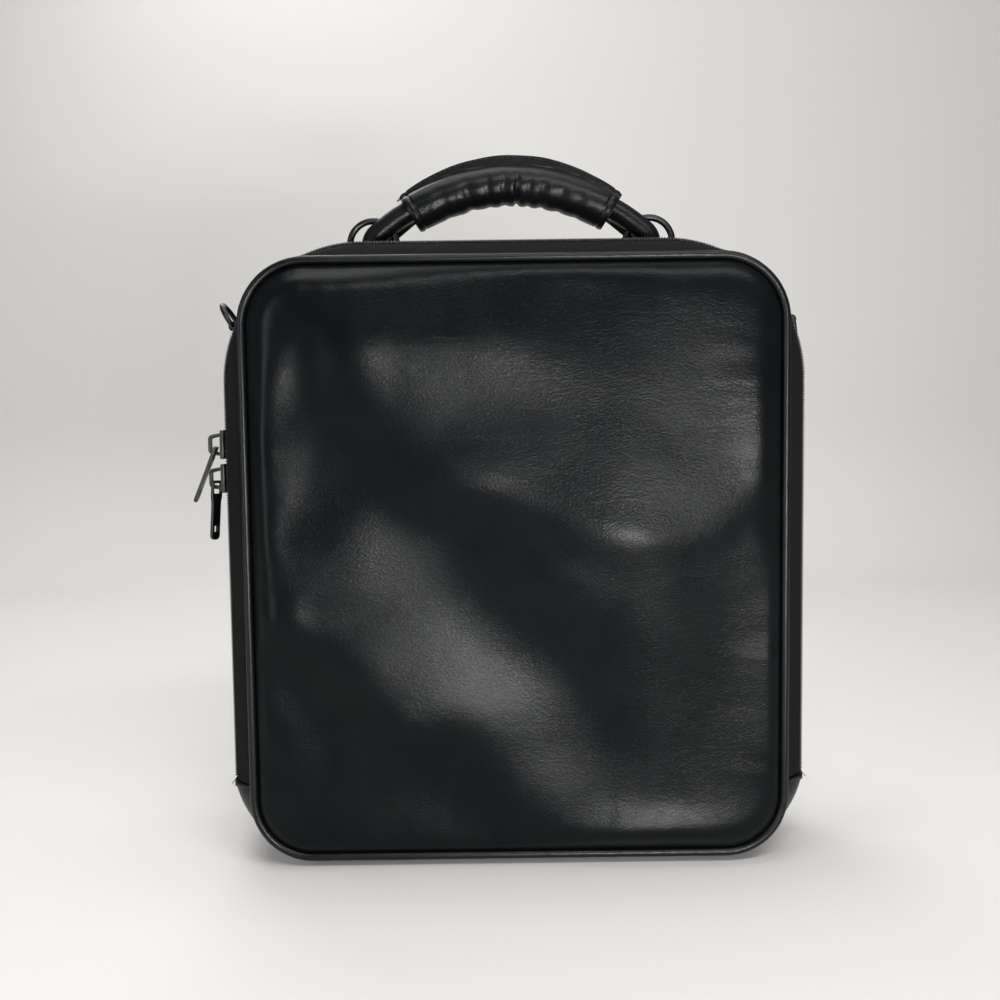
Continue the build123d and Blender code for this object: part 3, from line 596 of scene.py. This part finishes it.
# Zip chain: two coils of black nylon wire, one woven to each tape, whose turns mesh along the
# middle. One turn is modelled, and repeated round the opening. The two rows lie half a pitch
# apart.
coil_pitch, coil_turns, turn_size, turn_edge = 0.00167, 540, (0.00082, 0.0037, 0.0021), 0.00030
chain_y, coil_offset, chain_outline = -0.030, 0.00115, (0.16945, 0.0, 0.36595, 0.052, 0.08095)
nylon = Finish("coil nylon", (0.022, 0.021, 0.021), 0.38, specular_ior_level=0.6)
nylon.feed("Roughness", 0.32 + nylon.noise(700.0) * 0.14)
nylon.bump(nylon.noise(2500.0), 0.00003)


def repeated_along(piece, line, pitch, count):
    """Repeats a small piece at a pitch along a line, from its left end to its right one."""
    row = piece.modifiers.new("row", "ARRAY")
    row.count, row.use_relative_offset, row.use_constant_offset = count, False, True
    row.constant_offset_displace = (pitch, 0, 0)
    bend = piece.modifiers.new("bend", "CURVE")
    bend.object = line
    finished(piece, 50.0)
    bpy.data.objects.remove(line)


def zip_line(outline, y):
    """A line round the opening, from the fold on the left to the fold on the right."""
    line = new_piece("line")
    rounded_outline(line, y, *outline, cuts=40, bends=40)
    bpy.ops.mesh.delete(type="ONLY_FACE")
    return as_guide(ends_at=fold_height + fold_gap)


for side, node, body in ((-1, "zip_coil_front", "lid"), (1, "zip_coil_rear", "case")):
    coil = new_piece(node + "_turns")
    bpy.ops.mesh.primitive_cube_add(size=1)
    bpy.ops.transform.resize(value=turn_size, center_override=(0, 0, 0))
    bpy.ops.mesh.bevel(offset=turn_edge, segments=1, affect="EDGES")
    bpy.ops.transform.translate(value=((0.5 + side * 0.25) * coil_pitch, 0, 0))
    bpy.ops.object.mode_set(mode="OBJECT")
    line = zip_line(chain_outline, chain_y + side * coil_offset)
    repeated_along(coil, line, coil_pitch, coil_turns)
    nylon.on(coil)
    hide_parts(node)
    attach(coil, body)

# Stitches: waxed black thread. One row holds the gusset's turned edge to the zip's tape, and a
# short one runs along the hem of the base band on each side.
stitch_length, stitch_width, hem_stitch_length, hem_stitch_width = 0.0024, 0.0006, 0.0022, 0.0005
gusset_stitch_y, gusset_stitch_outline = -0.0195, (0.1704, 0.0, 0.3669, 0.052, 0.0819)
gusset_stitch_pitch, gusset_stitch_count = 0.0032, 282
hem_stitch_y, hem_stitch_pitch, hem_stitch_count, stitch_rise = -0.0335, 0.0031, 9, 0.0011
thread = Finish("thread", (0.012, 0.012, 0.013), 0.55, specular_ior_level=0.45)
thread.bump(thread.noise(3000.0), 0.00005)


def one_stitch(name, length, width):
    """One stitch along X, with its edges rounded."""
    stitch = new_piece(name)
    bpy.ops.mesh.primitive_cube_add(size=1)
    bpy.ops.transform.resize(value=(length, width, width * 0.8), center_override=(0, 0, 0))
    bpy.ops.mesh.bevel(offset=width * 0.3, segments=1, affect="EDGES")
    bpy.ops.object.mode_set(mode="OBJECT")
    return stitch


gusset_stitches = one_stitch("gusset_stitches", stitch_length, stitch_width)
line = zip_line(gusset_stitch_outline, gusset_stitch_y)
repeated_along(gusset_stitches, line, gusset_stitch_pitch, gusset_stitch_count)
thread.on(gusset_stitches)
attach(gusset_stitches, "case")
for name, side in (("hem_stitches_left", -1), ("hem_stitches_right", 1)):
    hem_stitches = one_stitch(name, hem_stitch_length, hem_stitch_width)
    bpy.ops.object.mode_set(mode="EDIT")
    bpy.ops.mesh.select_all(action="SELECT")
    bpy.ops.transform.rotate(value=pi / 2, orient_axis="Z", center_override=(0, 0, 0))
    stitch_z = fold_height - fold_gap - hem_height + stitch_rise
    start = (side * (tab_outline[0] + hem_rise), hem_stitch_y, stitch_z)
    bpy.ops.transform.translate(value=start)
    bpy.ops.object.mode_set(mode="OBJECT")
    row = hem_stitches.modifiers.new("row", "ARRAY")
    row.count, row.use_relative_offset, row.use_constant_offset = hem_stitch_count, False, True
    row.constant_offset_displace = (0, hem_stitch_pitch, 0)
    thread.on(finished(hem_stitches, 50.0))
    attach(hem_stitches, "case")

# Handle grip: a sheet of leather wrapped round the roll, with its two edges sewn together into
# a fin along the top. It is slack underneath, where the bend of the handle creases it.
grip_radius, grip_centre_z, grip_roll, handle_y = 0.117, 0.2915, 0.01225, 0.022
grip_half_angle, grip_thickness, grip_rows, grip_columns = radians(32.4), 0.0014, 260, 104
fin_radius, fin_centre_z, fin_half = 0.1115, 0.3155, 0.0015
fin_drop, fin_lean = grip_centre_z - fin_centre_z, np.arcsin(fin_half / grip_roll)
fin_stitch_drop, fin_stitch_pitch, fin_stitch_count = 0.0014, 0.0034, 38
sag_length, sag_width, sag_depth = 0.019, 0.018, 0.0005
wrinkle_run, wrinkle_across, wrinkle_depth = 0.0045, 0.012, 0.0002
wander_out, wander_across, wander_depth = 0.006, 0.02, 0.0012
seam_place, seam_width, seam_depth = 0.0045, 0.0007, 0.0005
end_width, end_depth, slack_from, slack_over = 0.0012, 0.0007, 0.006, 0.012
bulge, millimetre = 0.75, 0.001
grip_creases = (  # place along the grip and half width in millimetres, and depth
    (-45, 4.0, 0.5), (-27, 3.0, 1.0), (-14, 2.2, 0.6), (-4, 2.6, 1.1), (4, 1.5, 1.7),
    (12, 2.0, 0.9), (21, 2.6, 1.3), (33, 3.0, 0.8), (46, 3.0, 0.5),
)
bpy.ops.mesh.primitive_grid_add(x_subdivisions=grip_rows, y_subdivisions=grip_columns, size=2)
grip = bpy.context.object
grip.name = "grip_leather"
for vertex in grip.data.vertices:
    turn = vertex.co.x * grip_half_angle
    fin_reach = (fin_radius ** 2 - (fin_drop * sin(turn)) ** 2) ** 0.5
    fin_height = -fin_drop * cos(turn) + fin_reach - grip_radius
    fin_foot = fin_half + (fin_height - grip_roll * cos(fin_lean))
    underside = fin_foot + grip_roll * (pi - fin_lean)
    travel = underside - abs(vertex.co.y) * underside
    if travel < fin_half:
        across, out = travel, fin_height
    elif travel < fin_foot:
        across, out = fin_half, fin_height - (travel - fin_half)
    else:
        lean = fin_lean + (travel - fin_foot) / grip_roll
        across, out = grip_roll * sin(lean), grip_roll * cos(lean)
    across *= 1 if vertex.co.y > 0 else -1
    length = turn * grip_radius
    sag = noise.noise(Vector((length / sag_length, across / sag_width, 1.7)))
    fine = noise.noise(Vector((length / wrinkle_run, across / wrinkle_across, 5.1)))
    wander = wander_depth * noise.noise(Vector((out / wander_out, across / wander_across, 7.7)))
    low = min(1.0, max(0.0, 0.55 - out / grip_roll))
    creased = sum(
        depth * exp(-((length + wander - at * millimetre) / (wide * millimetre)) ** 2)
        for at, wide, depth in grip_creases
    )
    away = (grip_half_angle - abs(turn)) * grip_radius
    loose = min(1.0, max(0.0, away - slack_from) / slack_over)
    push = sag_depth * sag + wrinkle_depth * fine * low + millimetre * low * (bulge - creased)
    push *= loose
    push -= seam_depth * exp(-((away - seam_place) / seam_width) ** 2)
    push -= end_depth * exp(-(away / end_width) ** 2)
    scale = 1 + push / (across ** 2 + out ** 2) ** 0.5
    across *= scale
    out *= scale
    reach = grip_radius + out
    vertex.co = (reach * sin(turn), handle_y + across, grip_centre_z + reach * cos(turn))
bpy.ops.object.mode_set(mode="EDIT")
bpy.ops.mesh.select_all(action="SELECT")
bpy.ops.mesh.remove_doubles(threshold=0.00002)
bpy.ops.mesh.normals_make_consistent(inside=False)
bpy.ops.object.mode_set(mode="OBJECT")
thickened(grip, grip_thickness, levels=0)
grip_leather = leather_finish("grip leather", 0.00014, 0.00020, 0.25, 0.20)
grip_leather.on(grip)
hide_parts("grip_cover")
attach(grip, "handle")
for name, face in (("fin_stitches_front", -1), ("fin_stitches_back", 1)):
    new_piece("line")
    bpy.ops.mesh.primitive_circle_add(
        vertices=180, radius=fin_radius - fin_stitch_drop, rotation=(pi / 2, 0, 0),
        location=(0, handle_y + face * (fin_half + 0.0001), fin_centre_z),
    )
    line = as_guide(ends_at=grip_centre_z + grip_radius * cos(grip_half_angle) + 0.010)
    fin_stitches = one_stitch(name, stitch_length, stitch_width)
    repeated_along(fin_stitches, line, fin_stitch_pitch, fin_stitch_count)
    thread.on(fin_stitches)
    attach(fin_stitches, "handle")

# Handle core: a roll of leather over a cord. Each end turns down through its ring and comes back
# behind it as a flat tail, which is sewn in under the grip.
core_radius, core_top_z, tip_steps = 0.007, 0.410, 6
core_bends = ((0.130, 31.3, 26), (0.110, 10.7, 10), (0.009, 48.0, 12))  # radius, degrees, steps
tail_low, tail_high, tail_y = Vector((-0.0815, 0, 0.372)), Vector((-0.058, 0, 0.391)), 0.0267
tail_thickness, tail_width, voxel = 0.004, 0.005, 0.0009
core = new_piece("handle_core_leather")
bpy.ops.mesh.primitive_circle_add(
    vertices=28, radius=core_radius, location=(0, handle_y, core_top_z), rotation=(0, pi / 2, 0)
)
place, heading = Vector((0, 0, core_top_z)), 0.0
for radius, turn, steps in core_bends:
    centre = place - Vector((sin(heading), 0, cos(heading))) * radius
    bpy.ops.mesh.spin(
        steps=steps, angle=radians(turn), center=(centre.x, handle_y, centre.z), axis=(0, 1, 0)
    )
    heading -= radians(turn)
    place = centre + Vector((sin(heading), 0, cos(heading))) * radius
for step in range(1, tip_steps):
    lift, lift_before = step * pi / (2 * tip_steps), (step - 1) * pi / (2 * tip_steps)
    tip = place + Vector((-cos(heading), 0, sin(heading))) * core_radius * sin(lift)
    bpy.ops.mesh.extrude_region_move()
    ring = [v.co.copy() for v in bmesh.from_edit_mesh(core.data).verts if v.select]
    middle = sum(ring, Vector()) / len(ring)
    bpy.ops.transform.translate(value=Vector((tip.x, handle_y, tip.z)) - middle)
    share = cos(lift) / cos(lift_before)
    bpy.ops.transform.resize(value=(share, share, share), center_override=(tip.x, handle_y, tip.z))
bpy.ops.mesh.edge_face_add()
tail_middle, tail_run = (tail_low + tail_high) / 2, tail_high - tail_low
bpy.ops.mesh.select_all(action="DESELECT")
bpy.ops.mesh.primitive_cube_add(
    size=1, location=(tail_middle.x, tail_y, tail_middle.z),
    rotation=(0, -atan2(tail_run.z, tail_run.x), 0),
    scale=(tail_run.length + tail_thickness, tail_thickness, tail_width),
)
bpy.ops.mesh.bevel(offset=0.0012, segments=2, affect="EDGES")
bpy.ops.object.mode_set(mode="OBJECT")
mirror = core.modifiers.new("other end", "MIRROR")
mirror.merge_threshold = 0.0001
skin = core.modifiers.new("skin", "REMESH")
skin.mode, skin.voxel_size = "VOXEL", voxel
smooth = core.modifiers.new("smooth", "SMOOTH")
smooth.iterations = 4
finished(core, 180.0)
grip_leather.on(core)
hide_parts("handle_core")
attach(core, "handle")

# Chapes: short straps that hold the rings to the gusset, riveted down. The edges of their
# leather are eased and burnished.
chape_edge, sharp_angle = 0.0004, 40.0


def eased(node, name, width):
    """A cut or cast part in the form of its node, with its edges eased."""
    piece = bpy.data.objects.new(name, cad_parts[node].data.copy())
    bpy.context.scene.collection.objects.link(piece)
    bpy.ops.object.select_all(action="DESELECT")
    piece.select_set(True)
    bpy.context.view_layer.objects.active = piece
    bpy.ops.object.mode_set(mode="EDIT")
    bpy.ops.mesh.select_all(action="SELECT")
    bpy.ops.mesh.remove_doubles(threshold=0.000002)
    bpy.ops.mesh.dissolve_limited(angle_limit=radians(1))
    bpy.ops.object.mode_set(mode="OBJECT")
    edge = piece.modifiers.new("edge", "BEVEL")
    edge.width, edge.segments, edge.angle_limit = width, 2, radians(sharp_angle)
    edge.use_clamp_overlap = True
    finished(piece, sharp_angle)
    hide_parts(node)
    return piece


for node in ("handle_chape_left", "handle_chape_right", "side_chape_left", "side_chape_right"):
    chape = eased(node, node + "_leather", chape_edge)
    band_leather.on(chape)
    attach(chape, "case")

# Metal: rings, rivets, sliders and pulls are cast or bent steel and zinc, plated black nickel,
# which has rubbed a little paler on its edges.
metal_edge, plated, rubbed = 0.00022, (0.024, 0.024, 0.026, 1), (0.11, 0.107, 0.104, 1)
nickel = Finish("black nickel", (0.055, 0.055, 0.058), 0.34, metallic=1.0)
rub = nickel.ramp(nickel.add("NewGeometry", output="Pointiness"), (0.50, 0.0), (0.58, 1.0))
cloud = nickel.noise(240.0, 4.0)
nickel.feed("Base Color", nickel.mix(rub * 0.7 + cloud * 0.15, plated, rubbed))
nickel.feed("Roughness", 0.26 + cloud * 0.20)
nickel.bump(nickel.noise(1500.0), 0.00002)
for node, body in (
    ("handle_rivets", "case"), ("side_rivets", "case"), ("slider_upper", "slider_upper"),
    ("slider_lower", "slider_lower"), ("pull_upper", "pull_upper"), ("pull_lower", "pull_lower"),
):
    part = eased(node, node + "_metal", metal_edge)
    nickel.on(part)
    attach(part, body)
nickel.on(*(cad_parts[n] for n in (
    "handle_ring_left", "handle_ring_right", "side_ring_left", "side_ring_right", "handle_plate")))

# Lining: thin woven cloth, glued to the boards and sewn in at the edge of the gusset. The case
# has a box of it, and the lid has a flat sheet over its board.
lining_zip = (0.1665, 0.0051, 0.3630, 0.050, 0.0780)
lining_flat = (0.1665, 0.0051, 0.3508, 0.050, 0.032)
lining_back = (0.1562, 0.0075, 0.3508, 0.0395, 0.0395)
lining_front_y, lining_bend_y, lining_flat_y, lining_turn_y = -0.023, -0.0165, 0.003, 0.035
lining_back_y, lining_thickness, lining_seed, thread_pitch = 0.0437, 0.001, 2.0, 0.0008
lid_lining_y, lid_lining_outline = -0.0428, (0.1512, 0.0123, 0.3497, 0.0327, 0.0327)
cloth = Finish("lining cloth", (0.018, 0.018, 0.020), 0.8, specular_ior_level=0.2)
x, y, z = (
    cloth.add("SeparateXYZ", ports={"Vector": cloth.place}, output=axis) for axis in range(3)
)
warp = ((x + y) * (2 * pi / thread_pitch)).math("SINE")
weft = ((z + y) * (2 * pi / thread_pitch)).math("SINE")
cloth.feed("Base Color", cloth.mix(
    cloth.ramp(warp * weft * 0.5 + 0.5, (0.1, 0.0), (0.9, 1.0)),
    (0.010, 0.010, 0.0115, 1), (0.026, 0.026, 0.029, 1)))
cloth.bump(warp * weft + cloth.noise(140.0, 3.0) * 1.5, 0.00014)
lining = band("case_lining_cloth", (
    (lining_front_y, lining_zip), (lining_bend_y, lining_zip), (lining_flat_y, lining_flat),
    (lining_turn_y, lining_flat), (lining_back_y, lining_back),
), step=0.006, keep=0)
bpy.ops.object.mode_set(mode="EDIT")
pick(lining, "EDGE", lambda place: abs(place.y - lining_back_y) < 1e-6)
bpy.ops.mesh.edge_face_add()
bpy.ops.mesh.select_all(action="SELECT")
bpy.ops.mesh.normals_make_consistent(inside=False)
bpy.ops.object.mode_set(mode="OBJECT")
sink(lining, lining_front_y, lining_back_y, 0.0003, 0.0006, lining_seed)
thickened(lining, lining_thickness, levels=0)
lid_lining = new_piece("lid_lining_cloth")
rounded_outline(lid_lining, lid_lining_y, *lid_lining_outline)
bpy.ops.mesh.select_all(action="SELECT")
bpy.ops.mesh.bisect(
    plane_co=(0, 0, fold_height + fold_gap), plane_no=(0, 0, 1), clear_inner=True, use_fill=False
)
bpy.ops.object.mode_set(mode="OBJECT")
thickened(lid_lining, lining_thickness, levels=0)
for piece, node, body in ((lining, "case_lining", "case"), (lid_lining, "lid_lining", "lid")):
    cloth.on(piece)
    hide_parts(node)
    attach(piece, body)

# Boards: grey pressed fibre between the lining and the foam, and across the base. They stay
# inside the case, and only their edges could ever be seen.
fibre = Finish("fibre board", (0.05, 0.05, 0.05), 0.9, specular_ior_level=0.2)
speckle = fibre.noise(500.0, 5.0)
fibre.feed("Base Color", fibre.mix(speckle, (0.035, 0.034, 0.033, 1), (0.075, 0.073, 0.070, 1)))
fibre.bump(speckle, 0.0001)
fibre.on(*(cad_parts[n] for n in ("lid_board", "back_board", "base_board")))

low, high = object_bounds()
